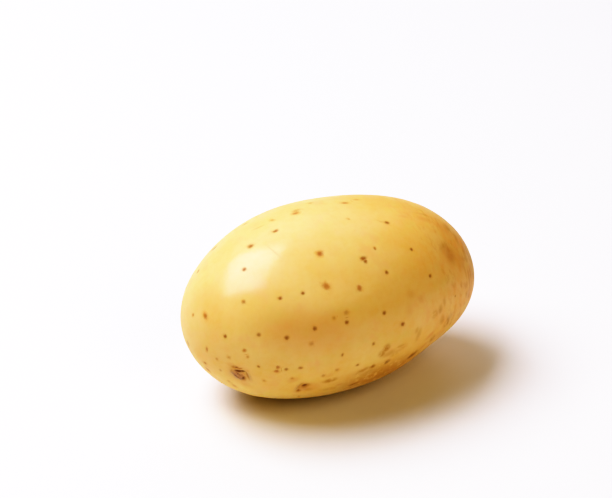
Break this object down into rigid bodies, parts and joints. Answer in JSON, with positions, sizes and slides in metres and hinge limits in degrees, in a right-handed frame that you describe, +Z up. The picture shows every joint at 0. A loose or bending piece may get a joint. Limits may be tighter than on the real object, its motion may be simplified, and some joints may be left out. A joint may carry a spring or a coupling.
{
  "type": "potato",
  "caption": "Whole washed yellow table potato, oval and smooth-skinned, lying on its side on a small flat spot.",
  "frame": {"origin": "middle of the small flat spot on the underside that the potato rests on", "axes": "+X along the potato's length, from the stem scar end to the slimmer rose end; +Y across its width, towards the back; +Z up through its thickness, away from the surface it lies on"},
  "size_m": [0.0981, 0.0641, 0.0587],
  "materials": {
    "skin": "thin washed potato skin, smooth and slightly waxy, warm yellow with brown lenticels, corky eyes and faint scuffs"
  },
  "bodies": {
    "root": {"tuber": "skin"}
  },
  "joints": []
}
